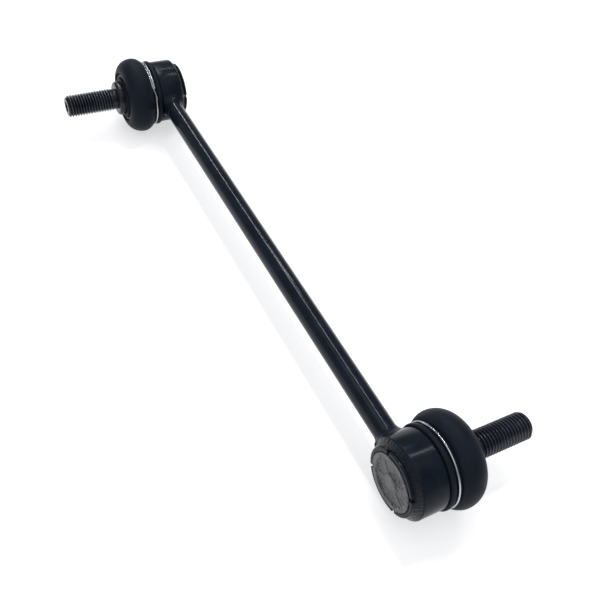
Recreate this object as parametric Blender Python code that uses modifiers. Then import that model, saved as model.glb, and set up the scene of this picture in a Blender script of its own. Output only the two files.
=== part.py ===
"""Stabilizer link: a straight steel rod with a ball joint welded to each end.

The rod lies along X with its middle at the origin. Joint a is at -X with its stud along -Y,
joint b is at +X with its stud along +Y, and one is the other turned half way round Z.
Each joint is built in its own frame: +Z along the stud, +X towards the rod, and the origin
where the rod's axis crosses the housing's. Sizes are in millimetres until they reach a mesh.
"""

import math

import bmesh
import bpy
from mathutils import Matrix, Vector

MM = 0.001
GAP = 0.3
SEGMENTS = 32
ARC_STEPS = 2
MERGE_DISTANCE = 0.00001
SHARP_ANGLE = math.radians(32)
FRAME_MARK_SIZE = 10.0

# Longest part of a straight side that a rounded corner may take up
LARGEST_ROUNDING_SHARE = 0.48

# Rod and its welds
LINK_LENGTH = 270.0
ROD_DIAMETER = 10.0
WELD_LEG = 1.6
WELD_LENGTH = 2.6
WELD_TOE = 0.5
WELD_SLOPE_STEPS = 4
WELD_HOLLOWNESS = 1.5

# Ball and stud, with heights above the rod's axis
BALL_DIAMETER = 19.0
BALL_HEIGHT = 2.5
BALL_FLAT_RADIUS = 3.0
SWING_LIMIT = math.radians(22)
NECK_DIAMETER = 10.0
BOOT_SEAT_DIAMETER = 12.8
NECK_TAPER = 3.5
COLLAR_DIAMETER = 18.4
COLLAR_HEIGHT = 24.3
COLLAR_THICKNESS = 3.3
COLLAR_ROUNDING = 1.5
THREAD_DIAMETER = 12.0
THREAD_LENGTH = 27.7
TIP_CHAMFER = 1.2
SOCKET_ACROSS_FLATS = 5.0
SOCKET_DEPTH = 5.5
BALL_STEPS = 9

# Plastic ball seat
SEAT_WALL = 2.3
SEAT_FLOOR = 1.6
SEAT_BOSS_HEIGHT = 2.0
SEAT_BOSS_RADIUS = 8.0
SEAT_BOSS_TAPER = 1.6
RETAINING_HEIGHT = 4.0
RETAINING_CLEARANCE = 0.4

# Housing
HOUSING_WALL = 4.3
HOUSING_SHOULDER = 5.2
HOUSING_EDGE_ROUNDING = 0.7
SPIGOT_STEP = 2.1
SPIGOT_LENGTH = 5.0
SPIGOT_ROUNDING = 0.6
MOUTH_CLEARANCE = 1.2
CROWN_START = 6.4
CROWN_ROUNDING = 1.4
ROLLED_WALL = 1.0
ROLLED_THICKNESS = 0.5
COUNTERBORE_STEP = 0.6
EDGE_FLANGE_STEP = 0.5
EDGE_FLANGE_HEIGHT = 1.1
EDGE_FLANGE_ROUNDING = 0.3
EDGE_NOTCH_COUNT = 4
EDGE_NOTCH_WIDTH = 1.8
EDGE_NOTCH_DEPTH = 0.8

# How far each joint's closure is turned about its axis, as it happened to be assembled
CLOSURE_TURNS = {"a": math.radians(12), "b": math.radians(-28)}

# Closing cap
CAP_LAND_THICKNESS = 2.0
CAP_HEAD_STEP = 0.7
CAP_HEAD_HEIGHT = 1.6
CAP_EDGE_ROUNDING = 0.4
CAP_POCKET_COUNT = 6
CAP_POCKET_DEPTH = 0.6
CAP_POCKET_STEPS = 4
CAP_HUB_RADIUS = 3.6
CAP_RIM_WIDTH = 2.6
CAP_RIB_WIDTH = 1.8

# Boot
BOOT_OVERHANG = 3.5
BOOT_SKIRT_WALL = 1.5
BOOT_WALL = 1.7
BOOT_BEAD_HEIGHT = 2.3
BOOT_BEAD_STEP = 1.2
BOOT_MIDDLE_HEIGHT = 15.2
BOOT_DROP = 6.6
BOOT_CROWN_DEPTH = 6.9
BOOT_LIP_WALL = 2.8
BOOT_LIP_LENGTH = 2.6
BOOT_VALLEY_DEPTH = 2.0
BOOT_ROOF_WALL = 1.5
BOOT_GRIP_ANGLE = math.radians(72)
UPPER_BULGE_STEPS = 6
LOWER_BULGE_STEPS = 4
HOLLOW_STEPS = 3

# Rings on the boot
CLAMP_RING_WIDTH = 2.1
CLAMP_RING_THICKNESS = 1.0
CLAMP_RING_ROUNDING = 0.3
SPRING_WIRE_DIAMETER = 1.2
SPRING_WIRE_SIDES = 7
LIP_RING_WALL = 1.2
LIP_RING_FLANGE = 1.9
LIP_RING_FLANGE_THICKNESS = 0.9

# What follows from those sizes
BALL_RADIUS = BALL_DIAMETER / 2
NECK_RADIUS = NECK_DIAMETER / 2
BOOT_SEAT_RADIUS = BOOT_SEAT_DIAMETER / 2
COLLAR_RADIUS = COLLAR_DIAMETER / 2
COLLAR_TOP = COLLAR_HEIGHT + COLLAR_THICKNESS
THREAD_RADIUS = THREAD_DIAMETER / 2
TIP_HEIGHT = COLLAR_TOP + THREAD_LENGTH
ROD_RADIUS = ROD_DIAMETER / 2

CAVITY_RADIUS = BALL_RADIUS + GAP
SEAT_RADIUS = CAVITY_RADIUS + SEAT_WALL
SEAT_BOTTOM = BALL_HEIGHT - CAVITY_RADIUS - SEAT_FLOOR
SEAT_SHOULDER = SEAT_BOTTOM + SEAT_BOSS_HEIGHT
LIP_HEIGHT = BALL_HEIGHT + RETAINING_HEIGHT
SEAT_TOP = LIP_HEIGHT - GAP

BORE_RADIUS = SEAT_RADIUS + GAP
HOUSING_RADIUS = BORE_RADIUS + HOUSING_WALL
SPIGOT_RADIUS = HOUSING_RADIUS - SPIGOT_STEP
SPIGOT_TOP = HOUSING_SHOULDER + SPIGOT_LENGTH
LIP_RADIUS = math.sqrt(BALL_RADIUS**2 - RETAINING_HEIGHT**2) + RETAINING_CLEARANCE
MOUTH_REACH = (SPIGOT_TOP - BALL_HEIGHT) * math.tan(SWING_LIMIT)
MOUTH_RADIUS = NECK_RADIUS / math.cos(SWING_LIMIT) + MOUTH_REACH + MOUTH_CLEARANCE
COUNTERBORE_RADIUS = BORE_RADIUS + COUNTERBORE_STEP

CAP_LAND_RADIUS = COUNTERBORE_RADIUS - GAP
CAP_LAND_TOP = SEAT_SHOULDER - GAP
CAP_LAND_BOTTOM = CAP_LAND_TOP - CAP_LAND_THICKNESS
CAP_HEAD_RADIUS = CAP_LAND_RADIUS - CAP_HEAD_STEP
CAP_FACE = CAP_LAND_BOTTOM - CAP_HEAD_HEIGHT
ROLLED_TOP = CAP_LAND_BOTTOM - GAP
ROLLED_BOTTOM = ROLLED_TOP - ROLLED_THICKNESS
ROLLED_INNER_RADIUS = CAP_HEAD_RADIUS + GAP
ROLLED_OUTER_RADIUS = COUNTERBORE_RADIUS + ROLLED_WALL
FLANGE_NECK_RADIUS = ROLLED_OUTER_RADIUS - EDGE_FLANGE_STEP
FLANGE_TOP = ROLLED_BOTTOM + EDGE_FLANGE_HEIGHT

SKIRT_INNER_RADIUS = SPIGOT_RADIUS + GAP
SKIRT_RADIUS = SKIRT_INNER_RADIUS + BOOT_SKIRT_WALL
SKIRT_BOTTOM = HOUSING_SHOULDER + GAP
BEAD_TOP = SKIRT_BOTTOM + BOOT_BEAD_HEIGHT
CLAMP_RING_BOTTOM = BEAD_TOP + GAP
CLAMP_RING_TOP = CLAMP_RING_BOTTOM + CLAMP_RING_WIDTH
GROOVE_TOP = CLAMP_RING_TOP + GAP
BOOT_RADIUS = HOUSING_RADIUS + BOOT_OVERHANG
CROWN_RADIUS = BOOT_RADIUS - BOOT_CROWN_DEPTH

LIP_RING_INNER_RADIUS = BOOT_SEAT_RADIUS + GAP
LIP_RING_RADIUS = LIP_RING_INNER_RADIUS + LIP_RING_WALL
BOOT_LIP_INNER_RADIUS = LIP_RING_RADIUS + GAP
BOOT_LIP_RADIUS = BOOT_LIP_INNER_RADIUS + BOOT_LIP_WALL
BOOT_LIP_TOP = COLLAR_HEIGHT - GAP
BOOT_VALLEY_HEIGHT = BOOT_LIP_TOP - BOOT_LIP_LENGTH
BOOT_CROWN_HEIGHT = BOOT_VALLEY_HEIGHT + BOOT_VALLEY_DEPTH
BOOT_ROOF_HEIGHT = BOOT_VALLEY_HEIGHT - BOOT_ROOF_WALL
LIP_RING_FLANGE_TOP = BOOT_ROOF_HEIGHT - GAP
LIP_RING_BOTTOM = LIP_RING_FLANGE_TOP - LIP_RING_FLANGE_THICKNESS
SPRING_WIRE_RADIUS = SPRING_WIRE_DIAMETER / 2
SPRING_RING_RADIUS = BOOT_LIP_RADIUS + GAP + SPRING_WIRE_RADIUS
SPRING_RING_HEIGHT = BOOT_VALLEY_HEIGHT + GAP + SPRING_WIRE_RADIUS
VALLEY_OUTER_RADIUS = SPRING_RING_RADIUS + SPRING_WIRE_RADIUS + GAP


def clear_scene():
    for old in list(bpy.data.objects):
        bpy.data.objects.remove(old, do_unlink=True)


def new_collection(name, hidden=False):
    collection = bpy.data.collections.new(name)
    collection.hide_render = hidden
    bpy.context.scene.collection.children.link(collection)
    return collection


def finish_material(name, color, roughness, metallic):
    material = bpy.data.materials.new(name)
    material.use_nodes = True
    shader = material.node_tree.nodes["Principled BSDF"]
    shader.inputs["Base Color"].default_value = (*color, 1.0)
    shader.inputs["Roughness"].default_value = roughness
    shader.inputs["Metallic"].default_value = metallic
    return material


def arc(center, radii, start, end, steps):
    """Points on an ellipse's arc, from one angle to another, in degrees from the radial direction."""
    points = []
    for step in range(steps + 1):
        angle = math.radians(start + (end - start) * step / steps)
        points.append((center[0] + radii[0] * math.cos(angle), center[1] + radii[1] * math.sin(angle)))
    return points


def rounded(before, corner, after, radius):
    """The corner of an outline replaced by an arc that touches both of its sides."""
    corner = Vector(corner)
    to_before = Vector(before) - corner
    to_after = Vector(after) - corner
    half_angle = to_before.angle(to_after) / 2
    longest = LARGEST_ROUNDING_SHARE * min(to_before.length, to_after.length)
    reach = min(radius / math.tan(half_angle), longest)
    radius = reach * math.tan(half_angle)
    inward = (to_before.normalized() + to_after.normalized()).normalized()
    middle = corner + inward * (radius / math.sin(half_angle))
    first = (corner + to_before.normalized() * reach - middle).normalized()
    last = (corner + to_after.normalized() * reach - middle).normalized()
    return [tuple(middle + first.slerp(last, step / ARC_STEPS) * radius) for step in range(ARC_STEPS + 1)]


def mesh_object(name, mesh, collection, material=None):
    """A named object for a mesh, shaded smooth with its real edges kept sharp."""
    mesh.shade_smooth()
    mesh.set_sharp_from_angle(angle=SHARP_ANGLE)
    made = bpy.data.objects.new(name, mesh)
    if material:
        mesh.materials.clear()
        mesh.materials.append(material)
    collection.objects.link(made)
    return made


def turned_mesh(name, outline, closed):
    """The solid that an outline of radius and height sweeps about Z, by way of a Screw modifier."""
    profile = bpy.data.meshes.new(name + "_profile")
    count = len(outline)
    edges = [(i, i + 1) for i in range(count - 1)]
    if closed:
        edges.append((count - 1, 0))
    profile.from_pydata([(radius * MM, 0.0, height * MM) for radius, height in outline], edges, [])
    holder = bpy.data.objects.new(name + "_profile", profile)
    bpy.context.scene.collection.objects.link(holder)
    screw = holder.modifiers.new("turn", "SCREW")
    screw.steps = SEGMENTS
    screw.render_steps = SEGMENTS
    screw.use_merge_vertices = True
    screw.merge_threshold = MERGE_DISTANCE
    graph = bpy.context.evaluated_depsgraph_get()
    mesh = bpy.data.meshes.new_from_object(holder.evaluated_get(graph))
    mesh.name = name
    bpy.data.objects.remove(holder, do_unlink=True)
    return mesh


def cut(target, cutter):
    cutter.hide_render = True
    cutter.display_type = "WIRE"
    boolean = target.modifiers.new("cut_" + cutter.name, "BOOLEAN")
    boolean.operation = "DIFFERENCE"
    boolean.solver = "EXACT"
    boolean.object = cutter


def housing_outline():
    """Spigot under the boot, barrel, crown, and the flanged edge that is rolled over the cap."""
    top_edge = rounded(
        (MOUTH_RADIUS, SPIGOT_TOP), (SPIGOT_RADIUS, SPIGOT_TOP), (SPIGOT_RADIUS, HOUSING_SHOULDER), SPIGOT_ROUNDING
    )
    shoulder_edge = rounded(
        (SPIGOT_RADIUS, HOUSING_SHOULDER),
        (HOUSING_RADIUS, HOUSING_SHOULDER),
        (HOUSING_RADIUS, -CROWN_START),
        HOUSING_EDGE_ROUNDING,
    )
    crown_edge = rounded(
        (HOUSING_RADIUS, HOUSING_SHOULDER),
        (HOUSING_RADIUS, -CROWN_START),
        (FLANGE_NECK_RADIUS, FLANGE_TOP),
        CROWN_ROUNDING,
    )
    rolled_edge = rounded(
        (ROLLED_OUTER_RADIUS, FLANGE_TOP),
        (ROLLED_OUTER_RADIUS, ROLLED_BOTTOM),
        (ROLLED_INNER_RADIUS, ROLLED_BOTTOM),
        EDGE_FLANGE_ROUNDING,
    )
    return [
        (MOUTH_RADIUS, SPIGOT_TOP),
        *top_edge,
        (SPIGOT_RADIUS, HOUSING_SHOULDER),
        *shoulder_edge,
        *crown_edge,
        (FLANGE_NECK_RADIUS, FLANGE_TOP),
        (ROLLED_OUTER_RADIUS, FLANGE_TOP),
        *rolled_edge,
        (ROLLED_INNER_RADIUS, ROLLED_BOTTOM),
        (ROLLED_INNER_RADIUS, ROLLED_TOP),
        (COUNTERBORE_RADIUS, ROLLED_TOP),
        (COUNTERBORE_RADIUS, SEAT_SHOULDER),
        (BORE_RADIUS, SEAT_SHOULDER),
        (BORE_RADIUS, LIP_HEIGHT),
        (LIP_RADIUS, LIP_HEIGHT),
    ]


def seat_outline():
    """Plastic cup: its cavity from the bottom up to the mouth, then down its outside to the boss."""
    mouth_angle = math.degrees(math.asin((SEAT_TOP - BALL_HEIGHT) / CAVITY_RADIUS))
    cavity = arc((0.0, BALL_HEIGHT), (CAVITY_RADIUS, CAVITY_RADIUS), -90, mouth_angle, BALL_STEPS)
    return [
        (0.0, BALL_HEIGHT - CAVITY_RADIUS),
        *cavity[1:],
        (SEAT_RADIUS, SEAT_TOP),
        (SEAT_RADIUS, SEAT_SHOULDER),
        (SEAT_BOSS_RADIUS + SEAT_BOSS_TAPER, SEAT_SHOULDER),
        (SEAT_BOSS_RADIUS, SEAT_BOTTOM),
        (0.0, SEAT_BOTTOM),
    ]


def stud_outline():
    """Threaded end, collar, boot seat, neck and ball, from the tip down."""
    collar_edge = rounded(
        (THREAD_RADIUS, COLLAR_TOP), (COLLAR_RADIUS, COLLAR_TOP), (COLLAR_RADIUS, COLLAR_HEIGHT), COLLAR_ROUNDING
    )
    neck_angle = math.degrees(math.acos(NECK_RADIUS / BALL_RADIUS))
    flat_angle = math.degrees(math.acos(BALL_FLAT_RADIUS / BALL_RADIUS))
    ball = arc((0.0, BALL_HEIGHT), (BALL_RADIUS, BALL_RADIUS), neck_angle, -flat_angle, BALL_STEPS)
    seat_bottom = LIP_RING_BOTTOM - GAP
    return [
        (0.0, TIP_HEIGHT),
        (THREAD_RADIUS - TIP_CHAMFER, TIP_HEIGHT),
        (THREAD_RADIUS, TIP_HEIGHT - TIP_CHAMFER),
        (THREAD_RADIUS, COLLAR_TOP),
        *collar_edge,
        (COLLAR_RADIUS, COLLAR_HEIGHT),
        (BOOT_SEAT_RADIUS, COLLAR_HEIGHT),
        (BOOT_SEAT_RADIUS, seat_bottom),
        (NECK_RADIUS, seat_bottom - NECK_TAPER),
        *ball,
        (0.0, ball[-1][1]),
    ]


def cap_outline():
    """Round cap: a land gripped by the housing's rolled edge, with a head that stands proud of it."""
    head_edge = rounded(
        (CAP_HEAD_RADIUS, CAP_LAND_BOTTOM), (CAP_HEAD_RADIUS, CAP_FACE), (0.0, CAP_FACE), CAP_EDGE_ROUNDING
    )
    return [
        (0.0, SEAT_BOTTOM - GAP),
        (SEAT_BOSS_RADIUS + GAP, SEAT_BOTTOM - GAP),
        (SEAT_BOSS_RADIUS + SEAT_BOSS_TAPER + GAP, CAP_LAND_TOP),
        (CAP_LAND_RADIUS, CAP_LAND_TOP),
        (CAP_LAND_RADIUS, CAP_LAND_BOTTOM),
        (CAP_HEAD_RADIUS, CAP_LAND_BOTTOM),
        *head_edge,
        (0.0, CAP_FACE),
    ]


def boot_outline():
    """Rubber bellows: lip, valley for the spring ring, bulge, groove for the clamp ring, and bead."""
    center = (CROWN_RADIUS, BOOT_MIDDLE_HEIGHT)
    valley_cosine = min((VALLEY_OUTER_RADIUS - CROWN_RADIUS) / BOOT_CROWN_DEPTH, 1.0)
    top_angle = math.degrees(math.acos(valley_cosine))
    groove_sine = min((BOOT_MIDDLE_HEIGHT - GROOVE_TOP) / BOOT_DROP, math.sin(BOOT_GRIP_ANGLE))
    bottom_angle = math.degrees(math.asin(groove_sine))
    rise = BOOT_CROWN_HEIGHT - BOOT_MIDDLE_HEIGHT
    upper_bulge = arc(center, (BOOT_CROWN_DEPTH, rise), top_angle, 0, UPPER_BULGE_STEPS)
    lower_bulge = arc(center, (BOOT_CROWN_DEPTH, BOOT_DROP), 0, -bottom_angle, LOWER_BULGE_STEPS)
    inner_depth = BOOT_CROWN_DEPTH - BOOT_WALL
    skirt_cosine = (SKIRT_INNER_RADIUS - CROWN_RADIUS) / inner_depth
    skirt_angle = math.degrees(math.acos(skirt_cosine))
    lower_hollow = arc(center, (inner_depth, BOOT_DROP - BOOT_WALL), -skirt_angle, 0, HOLLOW_STEPS)
    upper_hollow = arc(center, (inner_depth, BOOT_ROOF_HEIGHT - BOOT_MIDDLE_HEIGHT), 0, 90, HOLLOW_STEPS)
    return [
        (BOOT_LIP_INNER_RADIUS, BOOT_LIP_TOP),
        (BOOT_LIP_RADIUS, BOOT_LIP_TOP),
        (BOOT_LIP_RADIUS, BOOT_VALLEY_HEIGHT),
        (VALLEY_OUTER_RADIUS, BOOT_VALLEY_HEIGHT),
        *upper_bulge,
        *lower_bulge[1:],
        (SKIRT_RADIUS, GROOVE_TOP),
        (SKIRT_RADIUS, BEAD_TOP),
        (SKIRT_RADIUS + BOOT_BEAD_STEP, BEAD_TOP),
        (SKIRT_RADIUS + BOOT_BEAD_STEP, SKIRT_BOTTOM),
        (SKIRT_INNER_RADIUS, SKIRT_BOTTOM),
        *lower_hollow,
        *upper_hollow[1:],
        (BOOT_LIP_INNER_RADIUS, BOOT_ROOF_HEIGHT),
    ]


def lip_ring_outline():
    """Metal sleeve in the boot's lip, with a flange under the boot's roof."""
    return [
        (LIP_RING_INNER_RADIUS, BOOT_LIP_TOP),
        (LIP_RING_RADIUS, BOOT_LIP_TOP),
        (LIP_RING_RADIUS, LIP_RING_FLANGE_TOP),
        (LIP_RING_RADIUS + LIP_RING_FLANGE, LIP_RING_FLANGE_TOP),
        (LIP_RING_RADIUS + LIP_RING_FLANGE, LIP_RING_BOTTOM),
        (LIP_RING_INNER_RADIUS, LIP_RING_BOTTOM),
    ]


def clamp_ring_outline():
    """Flat band that grips the boot's skirt, with its outer edges rounded."""
    inner = SKIRT_RADIUS + GAP
    outer = inner + CLAMP_RING_THICKNESS
    middle = (CLAMP_RING_TOP + CLAMP_RING_BOTTOM) / 2
    upper = rounded((inner, CLAMP_RING_TOP), (outer, CLAMP_RING_TOP), (outer, middle), CLAMP_RING_ROUNDING)
    lower = rounded((outer, middle), (outer, CLAMP_RING_BOTTOM), (inner, CLAMP_RING_BOTTOM), CLAMP_RING_ROUNDING)
    return [(inner, CLAMP_RING_TOP), *upper, *lower, (inner, CLAMP_RING_BOTTOM)]


def spring_ring_outline():
    """Round wire, seen as a circle that runs down its outer side."""
    center = (SPRING_RING_RADIUS, SPRING_RING_HEIGHT)
    circle = arc(center, (SPRING_WIRE_RADIUS, SPRING_WIRE_RADIUS), 180, -180, SPRING_WIRE_SIDES)
    return circle[:-1]


def bmesh_object(name, tool, collection):
    mesh = bpy.data.meshes.new(name)
    bmesh.ops.recalc_face_normals(tool, faces=tool.faces)
    tool.to_mesh(mesh)
    tool.free()
    return mesh_object(name, mesh, collection)


def socket_cutter(name, collection):
    """Six-sided prism that leaves the key socket in the stud's tip."""
    tool = bmesh.new()
    length = (SOCKET_DEPTH + TIP_CHAMFER) * MM
    radius = SOCKET_ACROSS_FLATS / math.sqrt(3) * MM
    middle = Matrix.Translation((0, 0, (TIP_HEIGHT - SOCKET_DEPTH) * MM + length / 2))
    bmesh.ops.create_cone(
        tool, cap_ends=True, segments=6, radius1=radius, radius2=radius, depth=length, matrix=middle
    )
    return bmesh_object(name, tool, collection)


def notch_cutter(name, collection):
    """Blocks that cut the notches through the housing's rolled edge, evenly round it."""
    tool = bmesh.new()
    low = ROLLED_BOTTOM - GAP
    high = ROLLED_TOP + EDGE_NOTCH_DEPTH
    inner = ROLLED_INNER_RADIUS - GAP
    outer = HOUSING_RADIUS
    for index in range(EDGE_NOTCH_COUNT):
        turn = Matrix.Rotation(math.tau * index / EDGE_NOTCH_COUNT, 4, "Z")
        place = Matrix.Translation(((inner + outer) / 2 * MM, 0, (low + high) / 2 * MM))
        size = Matrix.Diagonal(((outer - inner) * MM, EDGE_NOTCH_WIDTH * MM, (high - low) * MM, 1))
        bmesh.ops.create_cube(tool, size=1.0, matrix=turn @ place @ size)
    return bmesh_object(name, tool, collection)


def pocket_cutter(name, collection):
    """Sectors that sink the cap's face between its hub, its rim and its ribs."""
    tool = bmesh.new()
    inner = CAP_HUB_RADIUS
    outer = CAP_HEAD_RADIUS - CAP_RIM_WIDTH
    low = CAP_FACE - GAP
    high = CAP_FACE + CAP_POCKET_DEPTH
    sweep = math.tau / CAP_POCKET_COUNT - CAP_RIB_WIDTH / inner
    for index in range(CAP_POCKET_COUNT):
        middle = math.tau * (index + 0.5) / CAP_POCKET_COUNT
        start = Matrix.Rotation(middle - sweep / 2, 4, "Z")
        corners = [(inner, low), (outer, low), (outer, high), (inner, high)]
        verts = [tool.verts.new(start @ Vector((radius * MM, 0, height * MM))) for radius, height in corners]
        face = tool.faces.new(verts)
        bmesh.ops.spin(tool, geom=[face], axis=(0, 0, 1), cent=(0, 0, 0), angle=sweep, steps=CAP_POCKET_STEPS)
    return bmesh_object(name, tool, collection)


def joint_frame(name, side, parts):
    """Empty where the rod meets a joint: side is -1 for joint a and 1 for joint b."""
    frame = bpy.data.objects.new(name, None)
    frame.empty_display_size = FRAME_MARK_SIZE * MM
    stud = Vector((0, side, 0))
    to_rod = Vector((-side, 0, 0))
    turn = Matrix((to_rod, stud.cross(to_rod), stud)).transposed().to_4x4()
    frame.matrix_world = Matrix.Translation((side * LINK_LENGTH / 2 * MM, 0, 0)) @ turn
    parts.objects.link(frame)
    return frame


def on_ball_center(piece, frame):
    """Gives a swinging piece its origin at the ball's centre, where its joints are."""
    center = Vector((0, 0, BALL_HEIGHT * MM))
    piece.data.transform(Matrix.Translation(-center))
    piece.parent = frame
    piece.location = center


def bar_mesh(name, radius, start, end, axis):
    """Plain round bar along the given axis, from start to end."""
    tool = bmesh.new()
    turn = Vector((0, 0, 1)).rotation_difference(Vector(axis)).to_matrix().to_4x4()
    middle = Matrix.Translation(Vector(axis) * ((start + end) / 2 * MM))
    bmesh.ops.create_cone(
        tool,
        cap_ends=True,
        segments=SEGMENTS,
        radius1=radius * MM,
        radius2=radius * MM,
        depth=(end - start) * MM,
        matrix=middle @ turn,
    )
    mesh = bpy.data.meshes.new(name)
    tool.to_mesh(mesh)
    tool.free()
    return mesh


def make_rod(parts, cutters, finish):
    """Straight bar, its ends hollowed to sit on the round housings."""
    end = LINK_LENGTH / 2 - HOUSING_RADIUS / 2
    rod = mesh_object("rod", bar_mesh("rod", ROD_RADIUS, -end, end, (1, 0, 0)), parts, finish)
    for side in (-1, 1):
        name = "rod_end_cutter_" + ("a" if side < 0 else "b")
        reach = 2 * ROD_RADIUS
        cutter = mesh_object(name, bar_mesh(name, HOUSING_RADIUS + GAP, -reach, reach, (0, 1, 0)), cutters)
        cutter.location.x = side * LINK_LENGTH / 2 * MM
        cut(rod, cutter)
    return rod


def make_weld(label, frame, parts, cutters, finish):
    """Fillet of weld metal round the rod, hollowed to sit on the housing and ended at its shoulder."""
    inner = ROD_RADIUS + GAP
    start = HOUSING_RADIUS + WELD_LENGTH
    toe = inner + WELD_TOE
    base = inner + WELD_LEG
    buried = HOUSING_RADIUS / 2
    slope = []
    for step in range(WELD_SLOPE_STEPS + 1):
        share = step / WELD_SLOPE_STEPS
        slope.append((toe + (base - toe) * share**WELD_HOLLOWNESS, start - WELD_LENGTH * share))
    outline = [(inner, start), *slope, (base, buried), (inner, buried)]
    mesh = turned_mesh("weld_bead_" + label, outline, True)
    mesh.transform(Matrix.Rotation(math.pi / 2, 4, "Y"))
    bead = mesh_object("weld_bead_" + label, mesh, parts, finish)
    bead.parent = frame
    reach = 2 * base
    hollows = {
        "weld_seat_cutter_": bar_mesh("weld_seat", HOUSING_RADIUS + GAP, -reach, reach, (0, 0, 1)),
        "weld_edge_cutter_": bar_mesh("weld_edge", 2 * HOUSING_RADIUS, HOUSING_SHOULDER, reach, (0, 0, 1)),
    }
    for name, mesh in hollows.items():
        cutter = mesh_object(name + label, mesh, cutters)
        cutter.parent = frame
        cut(bead, cutter)


def make_joint(label, side, parts, cutters, finishes):
    """One ball joint with its housing, seat, cap, stud, boot and rings."""
    frame = joint_frame("joint_frame_" + label, side, parts)
    fixed = {
        "housing": (housing_outline(), True, "painted_steel"),
        "ball_seat": (seat_outline(), False, "seat_plastic"),
        "end_cap": (cap_outline(), False, "cap_steel"),
        "clamp_ring": (clamp_ring_outline(), True, "bright_steel"),
    }
    swinging = {
        "boot": (boot_outline(), True, "boot_rubber"),
        "lip_ring": (lip_ring_outline(), True, "plain_steel"),
        "spring_ring": (spring_ring_outline(), True, "spring_steel"),
        "ball_stud": (stud_outline(), False, "coated_stud"),
    }
    pieces = {}
    for kind, (outline, closed, finish) in {**fixed, **swinging}.items():
        name = kind + "_" + label
        piece = mesh_object(name, turned_mesh(name, outline, closed), parts, finishes[finish])
        pieces[kind] = piece
        if kind in swinging:
            on_ball_center(piece, frame)
        else:
            piece.parent = frame
    for target, maker in (("ball_stud", socket_cutter), ("housing", notch_cutter), ("end_cap", pocket_cutter)):
        cutter = maker(maker.__name__ + "_" + label, cutters)
        cutter.parent = frame
        cutter.rotation_euler.z = CLOSURE_TURNS[label]
        cut(pieces[target], cutter)
    make_weld(label, frame, parts, cutters, finishes["painted_steel"])


def build():
    clear_scene()
    parts = new_collection("stabilizer_link")
    cutters = new_collection("cutters", hidden=True)
    finishes = {
        "painted_steel": finish_material("painted_steel", (0.012, 0.013, 0.016), 0.3, 0.0),
        "cap_steel": finish_material("cap_steel", (0.012, 0.013, 0.015), 0.4, 0.0),
        "coated_stud": finish_material("coated_stud", (0.02, 0.022, 0.026), 0.35, 0.4),
        "bright_steel": finish_material("bright_steel", (0.75, 0.76, 0.78), 0.25, 1.0),
        "plain_steel": finish_material("plain_steel", (0.35, 0.35, 0.36), 0.4, 1.0),
        "spring_steel": finish_material("spring_steel", (0.08, 0.08, 0.09), 0.4, 1.0),
        "boot_rubber": finish_material("boot_rubber", (0.014, 0.014, 0.016), 0.55, 0.0),
        "seat_plastic": finish_material("seat_plastic", (0.75, 0.73, 0.68), 0.45, 0.0),
    }
    make_rod(parts, cutters, finishes["painted_steel"])
    make_joint("a", -1, parts, cutters, finishes)
    make_joint("b", 1, parts, cutters, finishes)


build()
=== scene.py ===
"""Stabilizer link, dressed for the camera: the view, the studio, then every piece as it is put together."""

import math

import bmesh
import bpy
from mathutils import Matrix, Vector, noise


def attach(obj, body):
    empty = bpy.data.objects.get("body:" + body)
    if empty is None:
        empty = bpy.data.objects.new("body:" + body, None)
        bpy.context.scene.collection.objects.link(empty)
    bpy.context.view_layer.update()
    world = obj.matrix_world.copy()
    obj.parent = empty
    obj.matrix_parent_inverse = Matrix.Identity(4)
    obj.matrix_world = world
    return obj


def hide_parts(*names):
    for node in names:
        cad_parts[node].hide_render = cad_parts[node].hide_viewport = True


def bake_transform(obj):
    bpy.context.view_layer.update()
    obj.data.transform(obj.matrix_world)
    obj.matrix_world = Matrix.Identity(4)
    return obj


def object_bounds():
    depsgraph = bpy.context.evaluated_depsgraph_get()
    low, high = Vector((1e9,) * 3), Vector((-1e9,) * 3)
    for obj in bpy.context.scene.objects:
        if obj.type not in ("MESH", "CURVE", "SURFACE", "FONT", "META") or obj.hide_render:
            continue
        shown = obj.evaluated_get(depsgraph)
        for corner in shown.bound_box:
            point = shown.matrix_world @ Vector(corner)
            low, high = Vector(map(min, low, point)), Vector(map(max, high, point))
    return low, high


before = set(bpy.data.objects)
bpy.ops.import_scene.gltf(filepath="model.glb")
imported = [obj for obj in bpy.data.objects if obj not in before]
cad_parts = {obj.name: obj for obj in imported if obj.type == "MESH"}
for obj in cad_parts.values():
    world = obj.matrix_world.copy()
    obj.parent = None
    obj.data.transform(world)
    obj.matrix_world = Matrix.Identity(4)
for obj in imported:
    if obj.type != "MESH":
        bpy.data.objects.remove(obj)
cad_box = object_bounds()

# The view: looking down along the link from beyond joint b.
# A 45 mm lens at about 0.36 m from the middle of the rod.
CAMERA_PLACE = (0.2293, -0.1294, 0.2481)
CAMERA_BACK = (0.5592, -0.3843, 0.7346)
CAMERA_RIGHT = (0.4547, 0.8831, 0.1159)
camera = bpy.data.objects.new("camera", bpy.data.cameras.new("camera"))
camera.data.lens = 45.0
camera.data.sensor_width = 36.0
camera.data.clip_start = 0.01
back = Vector(CAMERA_BACK).normalized()
up = back.cross(Vector(CAMERA_RIGHT)).normalized()
right = up.cross(back)
axes = Matrix((right, up, back)).transposed().to_4x4()
camera.matrix_world = Matrix.Translation(CAMERA_PLACE) @ axes
bpy.context.scene.collection.objects.link(camera)
bpy.context.scene.camera = camera
bpy.context.scene.view_settings.view_transform = "Standard"

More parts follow.
